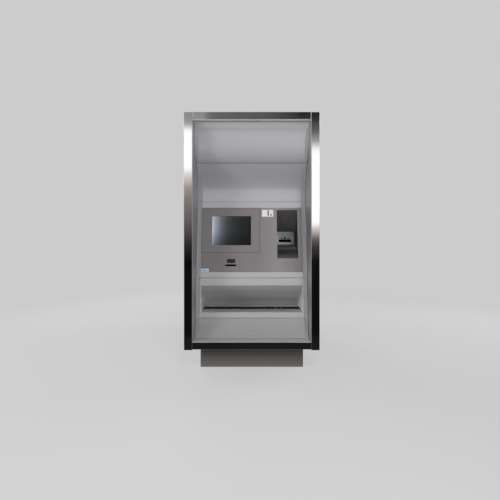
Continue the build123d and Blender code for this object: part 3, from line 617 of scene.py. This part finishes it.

# %% [markdown]
# The recess is a set of large mouldings with dark joints between them: hood, ceiling, the frames
# round panel and tray, and an apron. Moulded edges are rounder than folded ones. Each piece's grey is
# painted light and shade, and the hood, ceiling and panel frame get painted shade along their height.
# The plinth below is a painted box with a painted shadow of the surround on it, darkest at its top.

# %% Mouldings and plinth
moulded_edge = 1.2 * MM
cove_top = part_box("top_lining_plate")[0].z - 3 * MM
cove_height = 92 * MM
# Painted shade: hood darker towards its foot, ceiling darker towards its top, panel frame darker
# below 1.2 m.
panel_side_low, panel_side_high = 0.9, 1.2
paint_shade_along(hood_moulding, "Z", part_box("hood_panel")[0].z, cove_top - cove_height,
            [(0, 0.83), (0.35, 0.88), (1, 1)])
ceiling_low, ceiling_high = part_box("hood_ceiling")
paint_shade_along(ceiling_moulding, "Z", ceiling_low.z, ceiling_high.z,
            [(0, 1), (0.3, 0.96), (0.7, 0.77), (1, 0.77)])
paint_shade_along(moulding, "Z", panel_side_low, panel_side_high, [(0, 0.82), (0.5, 0.9), (1, 1)])
for node, mat in (("hood_panel", hood_moulding), ("hood_ceiling", ceiling_moulding),
                  ("panel_surround", moulding), ("tray_surround", lower_moulding),
                  ("lower_apron", apron_moulding)):
    soften(node, mat, moulded_edge)
plinth_low, plinth_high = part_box("plinth_box")
# Painted shadow of the surround: the plinth is painted darker towards its top.
paint_shade_along(plinth_paint, "Z", plinth_low.z, plinth_high.z,
            [(0, 1), (0.25, 0.84), (0.6, 0.46), (1, 0.2)])
soften("plinth_box", plinth_paint, 2.0 * MM, 3)
print("five mouldings and plinth rounded")

# %% [markdown]
# Where the hood meets the top plate, the moulding does not stop square: it sweeps forward in a cove
# and ends in a thin dark joint just behind the surround. The cove is a quarter circle spun from one
# point, stretched to its depth and height, pulled across the opening and given a sheet's thickness.

# %% Hood cove
cove_front = front + 20 * MM
cove_back = front + 111 * MM
cove_half = 325 * MM
bm = bmesh.new()
point = bm.verts.new((-cove_half, 0, 1))
bmesh.ops.spin(bm, geom=[point], cent=(0, 0, 0), axis=(1, 0, 0), angle=radians(-90), steps=20)
bmesh.ops.scale(bm, verts=bm.verts, vec=(1, cove_back - cove_front, cove_height))
move(bm, bm.verts, (0, cove_front, cove_top - cove_height))
pulled = new_points(bmesh.ops.extrude_edge_only(bm, edges=bm.edges[:]))
move(bm, pulled, (2 * cove_half, 0, 0))
bmesh.ops.recalc_face_normals(bm, faces=bm.faces)
if bm.faces[0].normal.y > 0:
    bmesh.ops.reverse_faces(bm, faces=bm.faces)
bmesh.ops.solidify(bm, geom=bm.faces[:], thickness=1.2 * MM)
# Painted light: the cove is painted lighter towards its top, where it sweeps forward under the plate.
paint_shade_along(cove_moulding, "Z", cove_top - cove_height, cove_top,
            [(0, 0.59), (0.3, 0.64), (0.72, 0.68), (1, 1)])
add_piece("hood_cove", bm, cove_moulding, "root_frame")
print("hood cove", round((cove_back - cove_front) / MM), "mm deep")

# %% [markdown]
# The control panel is three plates of one darker plastic: the main panel, the raised plate round the
# screen and the receipt plate. The touch glass stays sharp, because its edge lies under its plate.

# %% Control panel plates
# Painted light and shade: the panel is painted darker at its left and lightest towards its right.
panel_half = 0.27
paint_shade_along(panel_plastic, "X", -panel_half, panel_half,
            [(0, 0.75), (0.5, 0.79), (0.82, 1), (0.93, 0.88), (1, 0.8)])
soften("control_panel", panel_plastic, 1.1 * MM)
soften("screen_plate", panel_plastic, 1.3 * MM)
soften("receipt_plate", panel_plastic, 0.9 * MM)
dress("touch_glass", glass)
soften("receipt_window", dark_pane, 0.4 * MM)
print("panel plates rounded")

# %% [markdown]
# A thin black gasket sits between the screen plate and the glass, a dark joint runs round the plate,
# and the receipt slot has a black lip. All three are rectangle frames: a face is inset, its middle is
# taken out, and the rest gets thickness.

# %% Screen gasket, plate joint and receipt lip
def frame_ring(name, low, high, wide, thick, mat):
    """A flat rectangular ring on the panel, from low to high, standing thick proud of low.z."""
    bm = bmesh.new()
    bmesh.ops.create_grid(bm, x_segments=1, y_segments=1, size=0.5)
    bmesh.ops.scale(bm, verts=bm.verts, vec=(high.x - low.x, high.y - low.y, 1))
    move(bm, bm.verts, ((low.x + high.x) / 2, (low.y + high.y) / 2, low.z))
    bmesh.ops.inset_region(bm, faces=bm.faces[:], thickness=wide, use_boundary=True,
                           use_even_offset=True)
    middle = min(bm.faces, key=lambda f: (f.calc_center_median() - (low + high) / 2).to_2d().length)
    bmesh.ops.delete(bm, geom=[middle], context="FACES_ONLY")
    lifted = new_points(bmesh.ops.extrude_face_region(bm, geom=bm.faces[:]))
    move(bm, lifted, (0, 0, thick))
    bmesh.ops.recalc_face_normals(bm, faces=bm.faces)
    add_on_panel(name, bm, mat)


proud = Vector((0, 0, 0.05)) * MM
glass_low, glass_high = panel_box("touch_glass")
lap = 7.9 * MM
frame_ring("screen_gasket", Vector((glass_low.x + lap, glass_low.y + lap, glass_high.z)) + proud,
           Vector((glass_high.x - lap, glass_high.y - lap, 0)), 0.9 * MM, 0.8 * MM, rubber)
plate_low, plate_high = panel_box("screen_plate")
panel_skin = panel_box("control_panel")[1].z
joint = Vector((0.8, 0.8, 0)) * MM
frame_ring("screen_plate_joint", Vector((plate_low.x, plate_low.y, panel_skin)) + proud - joint,
           plate_high + joint, 1.6 * MM, 0.3 * MM, rubber)
plate_low, plate_high = panel_box("receipt_plate")
frame_ring("receipt_mouth",
           Vector((plate_low.x + 20.5 * MM, plate_low.y + 34.5 * MM, plate_high.z)) + proud,
           Vector((plate_low.x + 86.5 * MM, plate_low.y + 45.5 * MM, 0)),
           3.2 * MM, 0.8 * MM, mouth_plastic)
print("gasket round a glass", round((glass_high.x - glass_low.x) / MM), "mm wide")

# %% [markdown]
# The white label by the card entry carries only two plain marks: a black bar with a wider head for
# the card, and a small triangle for the way it goes in. The corner stripe has two blue bands. Each
# mark is a thin raised film.

# %% Card label and corner stripe
film = 0.18 * MM
film_edge = 0.22 * MM


def film_base(node, mat):
    """A thin film with soft edges that stands for a CAD node; returns its corners on the panel."""
    low, high = panel_box(node)
    bm = bmesh.new()
    slab(bm, low, high, film_edge)
    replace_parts(add_on_panel(node + "_film", bm, mat), node)
    return low, high


low, high = film_base("instruction_label", label_film)
wide, tall = high.x - low.x, high.y - low.y
bm = bmesh.new()
for left, right, foot, head in ((0.50, 0.60, 0.12, 0.86), (0.45, 0.65, 0.80, 0.86)):
    slab(bm, (low.x + left * wide, low.y + foot * tall, high.z),
         (low.x + right * wide, low.y + head * tall, high.z + film))
disc(bm, (low.x + 0.80 * wide, low.y + 0.26 * tall, high.z), (0, 0, 1), 8 * MM, film, 3)
add_on_panel("instruction_label_marks", bm, mark_ink)

low, high = film_base("corner_stripe", stripe_film)
bm = bmesh.new()
for foot, head, short in ((4, 9, 3), (12, 14, 14)):
    slab(bm, (low.x + 3 * MM, low.y + foot * MM, high.z),
         (high.x - short * MM, low.y + head * MM, high.z + film))
add_on_panel("corner_stripe_bands", bm, stripe_blue)
print("label", round(wide / MM), "mm wide, and stripe films")

# %% [markdown]
# The card entry is the machine's most detailed moulding: a silver block with a wide funnel mouth.
# The block is cut into strips by planes so that the mouth is a face of its own, and that face is
# inset twice, each time deeper.

# %% Card bezel
def face_at(bm, centre, normal):
    """The face that looks along normal and lies nearest to a point."""
    facing = [f for f in bm.faces if f.normal.dot(Vector(normal)) > 0.9]
    return min(facing, key=lambda f: (f.calc_center_median() - Vector(centre)).length)


# Painted highlight and shade across this span: the silver parts are lighter at the left, darker to
# the right.
silver_left, silver_right = 0.160, 0.270
bezel_low, bezel_high = panel_box("card_bezel")
shutter_low, shutter_high = panel_box("card_shutter")
mouth_x = (shutter_low.x + shutter_high.x) / 2
mouth_y = (shutter_low.y + shutter_high.y) / 2
mouth_half = Vector((40, 8.5)) * MM
paint_shade_along(bezel_plastic, "X", silver_left, silver_right, [(0, 1), (0.4, 0.66), (1, 0.34)])
bm = bmesh.new()
slab(bm, bezel_low, bezel_high)
for side in (-1, 1):
    cut_through(bm, (mouth_x + side * mouth_half.x, 0, 0), (1, 0, 0))
for side in (-1, 1):
    cut_through(bm, (0, mouth_y + side * mouth_half.y, 0), (0, 1, 0))
bm.normal_update()
mouth = face_at(bm, (mouth_x, mouth_y, bezel_high.z), (0, 0, 1))
bmesh.ops.inset_individual(bm, faces=[mouth], thickness=0.9 * MM, depth=-1.2 * MM,
                           use_even_offset=True)
funnel = bmesh.ops.inset_individual(bm, faces=[mouth], thickness=0.5 * MM, depth=-18 * MM,
                                    use_even_offset=True)["faces"]
for face in funnel + [mouth]:
    face.material_index = 1
bezel_piece = add_on_panel("card_bezel_block", bm, [bezel_plastic, mouth_plastic])
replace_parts(bezel_piece, "card_bezel")
round_edges(bezel_piece, 1.6 * MM, 3)
print("card bezel", round((bezel_high.x - bezel_low.x) / MM), "mm wide")

# %% [markdown]
# A raised silver chin under the mouth and a cheek on each side steer the card. They are rounded slabs
# set into the block. The dark marks over the mouth are an arrow, two lamps and two curved bands, each
# spun from a point, widened outwards and thickened.

# %% Chin, arrow, lamps and niche
bm = bmesh.new()
slab(bm, (mouth_x - 48 * MM, mouth_y - 21 * MM, bezel_high.z - 1 * MM),
     (mouth_x + 46 * MM, mouth_y - 10 * MM, bezel_high.z + 7 * MM), 3.6 * MM, 5)
for cheek in (-49, 41):
    slab(bm, (mouth_x + cheek * MM, mouth_y - 14 * MM, bezel_high.z - 1 * MM),
         (mouth_x + (cheek + 7) * MM, mouth_y + 30 * MM, bezel_high.z + 4 * MM), 2.2 * MM, 4)
# Painted highlight and shade: the chin and cheeks are painted lighter at the left and darker to the
# right.
paint_shade_along(chin_plastic, "X", silver_left, silver_right, [(0, 1), (0.4, 0.66), (1, 0.3)])
add_on_panel("card_bezel_chin", bm, chin_plastic)

bm = bmesh.new()
disc(bm, (mouth_x, mouth_y + 17 * MM, bezel_high.z), (0, 0, 1), 11 * MM, 0.6 * MM, 3)
for side in (-1, 1):
    disc(bm, (mouth_x + side * 21 * MM, mouth_y + 15 * MM, bezel_high.z), (0, 0, 1), 4.2 * MM,
         0.9 * MM, 20, 0.7 * MM)
band_y = mouth_y + 4 * MM
band_wide = 3.2
for inner in (30, 36):
    start = bm.verts.new((mouth_x - inner * MM, band_y, bezel_high.z - 0.1 * MM))
    bmesh.ops.spin(bm, geom=[start], cent=(mouth_x, band_y, 0), axis=(0, 0, -1),
                   angle=radians(180), steps=28)
    edges = [e for e in bm.edges if not e.link_faces]
    rim = new_points(bmesh.ops.extrude_edge_only(bm, edges=edges))
    outward = (inner + band_wide) / inner
    bmesh.ops.scale(bm, verts=rim, vec=(outward, outward, 1),
                    space=Matrix.Translation((-mouth_x, -band_y, 0)))
    band = [f for f in bm.faces if any(v in rim for v in f.verts)]
    bmesh.ops.solidify(bm, geom=band, thickness=-0.4 * MM)
add_on_panel("card_bezel_marks", bm, mark_ink)
dress("card_shutter", mouth_plastic)
dress("card_reader", black_plastic)
niche_low, niche_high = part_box("niche_liner")
# Painted light and shade: the niche is lightest at its floor, darkest under the bezel, lighter
# towards its top.
paint_shade_along(niche_plastic, "Z", niche_low.z, niche_high.z,
            [(0, 1), (0.05, 0.85), (0.12, 0.36), (0.16, 0.36), (0.21, 0.62), (0.27, 0.32),
             (0.6, 0.34), (0.8, 0.44), (1, 0.52)])
soften("niche_liner", niche_plastic, 1.0 * MM)
print("chin, arrow and two lamps")

# %% [markdown]
# The cash tray is a wedge under a sloping ceiling. Its floor is a brushed sill, then a black shutter
# over the note pocket, then a painted strip. Two pale bars cross the pocket to keep notes apart, and
# five low ribs on the shutter ride with it.

# %% Cash tray
liner_low, liner_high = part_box("tray_liner")
# Painted light and shade: the tray's ceiling is painted lighter towards its foot and darker towards
# its top.
paint_shade_along(ceiling_paint, "Z", liner_low.z, liner_high.z,
            [(0, 1), (0.3, 0.9), (0.75, 0.55), (1, 0.53)])
soften("tray_liner", ceiling_paint, 0.8 * MM)
soften("tray_sill", sill_steel, 0.8 * MM)
soften("rear_floor_strip", tray_paint, 0.6 * MM)
soften("note_pocket", black_plastic, 0.8 * MM)
soften("note_guide_bars", bezel_plastic, 1.2 * MM, 3)
soften("note_shutter", shutter_plastic, 0.8 * MM)
shutter_low, shutter_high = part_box("note_shutter")
rib_half = 32 * MM
bm = bmesh.new()
for shift in range(8, 33, 5):
    at = shutter_low.y + shift * MM
    slab(bm, (-rib_half, at, shutter_high.z - 0.1 * MM),
         (rib_half, at + 2 * MM, shutter_high.z + 0.5 * MM), 0.25 * MM, 1)
add_piece("note_shutter_grip_lines", bm, shutter_plastic, "note_shutter")
print("tray floor with a", round((shutter_high.y - shutter_low.y) / MM), "mm shutter")

# %% [markdown]
# Behind the wall are a thick enamelled chest and a sheet cabinet on top. Their shells, doors and
# cassettes are softened like the front. What sits deep inside only gets a finish.

# %% Chest, cabinet and equipment
soften("chest_shell", chest_paint, 3.0 * MM, 3)
soften("chest_door", chest_paint, 2.5 * MM, 3)
soften("cabinet_shell", cabinet_paint, 0.8 * MM)
soften("cabinet_door", cabinet_paint, 1.2 * MM)
for number in range(1, 5):
    soften(f"cash_cassette_{number}", cassette_plastic, 2.5 * MM, 3)
soften("reject_cassette", reject_plastic, 2.5 * MM, 3)
for mat, nodes in (
        (zinc_steel, ("door_hinge_pins", "lock_case", "bolt_bar", "paper_spindle", "panel_screws")),
        (backing_paint, ("panel_mounting_plate",)),
        (bare_sheet, ("fascia_support_webs", "note_transport_duct", "dispenser_frame",
                      "computer_unit", "power_supply")),
        (black_plastic, ("display_module", "receipt_printer", "note_pick_tower", "mains_inlet")),
        (paper, ("paper_roll",))):
    for node in nodes:
        dress(node, mat)
print("chest, cabinet and equipment finished")

# %% [markdown]
# The cabinet is folded sheet held by pan-head screws. Each head is a flat cone with two thin bars
# crossed on it for the recess, and every face's screws are one piece, because they never part.

# %% Screws
screw_radius = 4 * MM
cabinet_half = 300 * MM


def screw_heads(name, places, axis, body):
    """Pan-head screws with a cross recess, as one piece; places are where each head starts."""
    bm = bmesh.new()
    axis = Vector(axis)
    face = Vector((0, 0, 1)).rotation_difference(axis).to_matrix()
    for place in places:
        disc(bm, place, axis, screw_radius, screw_radius * 0.55, 20, screw_radius * 0.35)
        for angle in (45, 135):
            cross = slab(bm, Vector((-0.55, -0.09, -0.02)) * screw_radius,
                         Vector((0.55, 0.09, 0.03)) * screw_radius)
            turn(bm, cross, face @ Matrix.Rotation(radians(angle), 3, "Z"))
            move(bm, cross, Vector(place) + axis * screw_radius * 0.55)
    add_piece(name, bm, zinc_steel, body)


door_low, door_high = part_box("cabinet_door")
shell_low, shell_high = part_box("cabinet_shell")
inset = 14 * MM
screw_heads("cabinet_door_screws",
            [(x, door_high.y, z) for x in (inset - door_high.x, 0, door_high.x - inset)
             for z in (door_low.z + inset, door_high.z - inset)], (0, 1, 0), "cabinet_door")
for name, side in (("right", 1), ("left", -1)):
    screw_heads(f"cabinet_{name}_screws",
                [(side * cabinet_half, y, z)
                 for y in (shell_low.y + 20 * MM, shell_low.y + 300 * MM, shell_high.y - 60 * MM)
                 for z in (shell_low.z + 16 * MM, shell_high.z - 16 * MM)],
                (side, 0, 0), "root_frame")
screw_heads("cabinet_top_screws",
            [(x, y, shell_high.z) for x in (-280 * MM, 280 * MM)
             for y in (shell_low.y + 20 * MM, shell_low.y + 340 * MM, shell_high.y - 60 * MM)],
            (0, 0, 1), "root_frame")
print("24 screws on four faces of the cabinet")

# %% [markdown]
# The computer and the cabinet need air, so their sheets carry banks of pressed louvres. A row of
# flattened rollers is laid across the sheet and cut by its plane, which leaves the half that stands
# out. A thin dark slot under each shows where the air goes in.

# %% Louvres
def louvres(name, centre, wide, pitch, count, normal, mat, body):
    """A bank of pressed louvres; each is a half-round hood with a dark gap under it."""
    centre, normal = Vector(centre), Vector(normal)
    along = Vector((0, 0, 1)).cross(normal)
    lay_down = Vector((0, 0, 1)).rotation_difference(along).to_matrix()
    flatten = Vector([0.62 if abs(c) > 0.5 else 1 for c in normal])
    heights = [(number - (count - 1) / 2) * pitch for number in range(count)]
    hoods = bmesh.new()
    for height in heights:
        roller = bmesh.ops.create_cone(hoods, cap_ends=True, segments=16, radius1=pitch * 0.32,
                                       radius2=pitch * 0.32, depth=wide)["verts"]
        turn(hoods, roller, lay_down)
        bmesh.ops.scale(hoods, verts=roller, vec=flatten)
        move(hoods, roller, centre + Vector((0, 0, height)))
    cut_through(hoods, centre - normal * 0.02 * MM, normal, clear_inner=True)
    bmesh.ops.holes_fill(hoods, edges=[e for e in hoods.edges if e.is_boundary])
    add_piece(name, hoods, mat, body)
    gaps = bmesh.new()
    reach = Vector([abs(c) for c in along * (wide / 2 - 2 * MM)]) + Vector((0, 0, pitch * 0.07))
    for height in heights:
        middle = centre + Vector((0, 0, height - pitch * 0.34))
        slab(gaps, middle - reach - normal * 0.1 * MM, middle + reach + normal * 0.25 * MM)
    add_piece(name + "_gaps", gaps, black_plastic, body)


unit_low, unit_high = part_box("computer_unit")
unit_x = (unit_low.x + unit_high.x) / 2
for name, z in (("lower", door_low.z + 110 * MM), ("upper", door_high.z - 110 * MM)):
    louvres(f"cabinet_door_louvres_{name}", (0, door_high.y, z), 340 * MM, 15 * MM, 7, (0, 1, 0),
            cabinet_paint, "cabinet_door")
louvres("computer_louvres", (unit_x, unit_high.y, unit_high.z - 90 * MM), 130 * MM, 11 * MM, 9,
        (0, 1, 0), bare_sheet, "root_frame")
print("three banks of louvres")

# %% [markdown]
# With the cabinet door open, the backs of the computer and the power supply show. One has a column
# of sockets, the other a guard over its fan: four circles, each spun from a point, widened outwards
# and given a wire's thickness.

# %% Computer sockets and fan guard
bm = bmesh.new()
for row, (wide, tall) in enumerate(((24, 11), (18, 9), (31, 12), (14, 7))):
    middle = Vector((unit_x - 30 * MM, unit_high.y, unit_low.z + (30 + row * 22) * MM))
    half = Vector((wide, 0, tall)) * MM / 2
    slab(bm, middle - half - Vector((0, 0.2 * MM, 0)), middle + half + Vector((0, 2.5 * MM, 0)),
         0.8 * MM)
add_piece("computer_sockets", bm, black_plastic, "root_frame")

supply_low, supply_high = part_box("power_supply")
fan = Vector(((supply_low.x + supply_high.x) / 2, supply_high.y, (supply_low.z + supply_high.z) / 2))
wire_wide = 2.2 * MM
bm = bmesh.new()
for ring in (8, 16, 24, 32):
    start = bm.verts.new(fan + Vector((ring * MM, 0.6 * MM, 0)))
    bmesh.ops.spin(bm, geom=[start], cent=fan, axis=(0, 1, 0), angle=radians(360), steps=36,
                   use_merge=True)
loops = [e for e in bm.edges if not e.link_faces]
for vert in new_points(bmesh.ops.extrude_edge_only(bm, edges=loops)):
    out = vert.co - fan
    out.y = 0
    vert.co += out.normalized() * wire_wide
bmesh.ops.solidify(bm, geom=bm.faces[:], thickness=0.5 * MM)
add_piece("power_supply_fan_guard", bm, zinc_steel, "root_frame")
print("four sockets and a fan guard")

# %% [markdown]
# Each side of the cabinet has a bank of louvres too, so that air can cross it. Both are made by the
# same function, facing left and right.

# %% Louvres on the cabinet's sides
for name, side in (("left", -1), ("right", 1)):
    louvres(f"cabinet_{name}_louvres",
            (side * cabinet_half, shell_low.y + 300 * MM, shell_high.z - 130 * MM), 260 * MM,
            15 * MM, 8, (side, 0, 0), cabinet_paint, "root_frame")
print("two more banks of louvres")

# %% [markdown]
# The chest door carries a combination dial and a lever. The dial is a skirted knob: a cone for the
# skirt, a smaller knurled grip on it, and white ticks round the skirt. It turns, so its ticks ride
# with it, and the ring with the pointer stays on the door.

# %% Lock dial
dial_low, dial_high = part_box("lock_dial")
dial_x = (dial_low.x + dial_high.x) / 2
dial_z = (dial_low.z + dial_high.z) / 2
dial_radius = (dial_high.x - dial_low.x) / 2
handle_low, handle_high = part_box("chest_handle")
door_face = handle_high.y - 22 * MM
outwards = (0, 1, 0)
ticks = 50
bm = bmesh.new()
disc(bm, (dial_x, door_face + 0.5 * MM, dial_z), outwards, dial_radius, 9 * MM, 64, 3 * MM)
grip = disc(bm, (dial_x, door_face + 9.5 * MM, dial_z), outwards, dial_radius * 0.58, 14 * MM, 40,
            1.5 * MM)
ribs = [e for e in bm.edges if all(v in grip for v in e.verts)
        and abs(e.verts[0].co.y - e.verts[1].co.y) > 10 * MM]
bmesh.ops.bevel(bm, geom=ribs, offset=0.8 * MM, segments=1, profile=0.5, affect="EDGES", material=-1)
dial_piece = add_piece("lock_dial_knob", bm, dial_plastic, "lock_dial")
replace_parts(dial_piece, "lock_dial")

bm = bmesh.new()
for tick in range(ticks):
    start = 0.70 if tick % 5 == 0 else 0.78
    mark = slab(bm, (-0.35 * MM, 8.6 * MM, dial_radius * start),
                (0.35 * MM, 9.9 * MM, dial_radius * 0.90))
    turn(bm, mark, Matrix.Rotation(2 * pi * tick / ticks, 3, "Y"))
    move(bm, mark, (dial_x, door_face, dial_z))
add_piece("lock_dial_ticks", bm, label_film, "lock_dial")

bm = bmesh.new()
disc(bm, (dial_x, door_face - 0.2 * MM, dial_z), outwards, dial_radius + 9 * MM, 0.6 * MM, 64)
disc(bm, (dial_x, door_face, dial_z + dial_radius + 5 * MM), outwards, 3 * MM, 2.5 * MM, 3)
add_piece("lock_dial_ring", bm, chrome_metal, "chest_door")
print("dial with", ticks, "ticks")

# %% [markdown]
# The chest's lever is a cast chrome arm. It gets a flat rose where its shaft goes through the door
# and a flattened ball at its end. The cabinet has a small lock with a dark slot for its key.

# %% Chest handle and cabinet lock
shaft_z = 0.39
lock_x, lock_z = 0.255, 1.09
soften("chest_handle", chrome_metal, 2.5 * MM, 3)
bm = bmesh.new()
disc(bm, (dial_x, door_face - 0.2 * MM, shaft_z), outwards, 30 * MM, 0.65 * MM, 48)
add_piece("chest_handle_rose", bm, chrome_metal, "chest_door")
bm = bmesh.new()
ball = bmesh.ops.create_uvsphere(bm, u_segments=24, v_segments=14, radius=13 * MM)["verts"]
bmesh.ops.scale(bm, verts=ball, vec=(1, 0.45, 1))
move(bm, ball, (dial_x, handle_high.y - 6 * MM, handle_low.z + 12 * MM))
add_piece("chest_handle_end", bm, chrome_metal, "chest_handle")
soften("cabinet_lock", chrome_metal, 1.2 * MM)
lock_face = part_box("cabinet_lock")[1].y
bm = bmesh.new()
slab(bm, (lock_x - 1 * MM, lock_face - 0.2 * MM, lock_z - 5 * MM),
     (lock_x + 1 * MM, lock_face + 0.1 * MM, lock_z + 5 * MM))
add_piece("cabinet_lock_keyway", bm, black_plastic, "cabinet_lock")
print("lever, rose and key slot")

# %% [markdown]
# Both rear doors have a raised border that stiffens the sheet: four rounded strips that meet at the
# corners and ride with the door.

# %% Door borders
border_half = 0.27


def border(door, foot, head, y, wide, thick, mat):
    """A raised rectangular border on a rear door, from foot to head."""
    left, right = -border_half, border_half
    bm = bmesh.new()
    for low, high in (((left, foot), (right, foot + wide)), ((left, head - wide), (right, head)),
                      ((left, foot + wide), (left + wide, head - wide)),
                      ((right - wide, foot + wide), (right, head - wide))):
        slab(bm, (low[0], y - 0.2 * MM, low[1]), (high[0], y + thick, high[1]), thick * 0.4)
    add_piece(door + "_border", bm, mat, door)


border("chest_door", 0.045, 0.735, door_face, 12 * MM, 3 * MM, chest_paint)
border("cabinet_door", 0.815, 1.365, door_high.y, 8 * MM, 2 * MM, cabinet_paint)
print("two door borders")
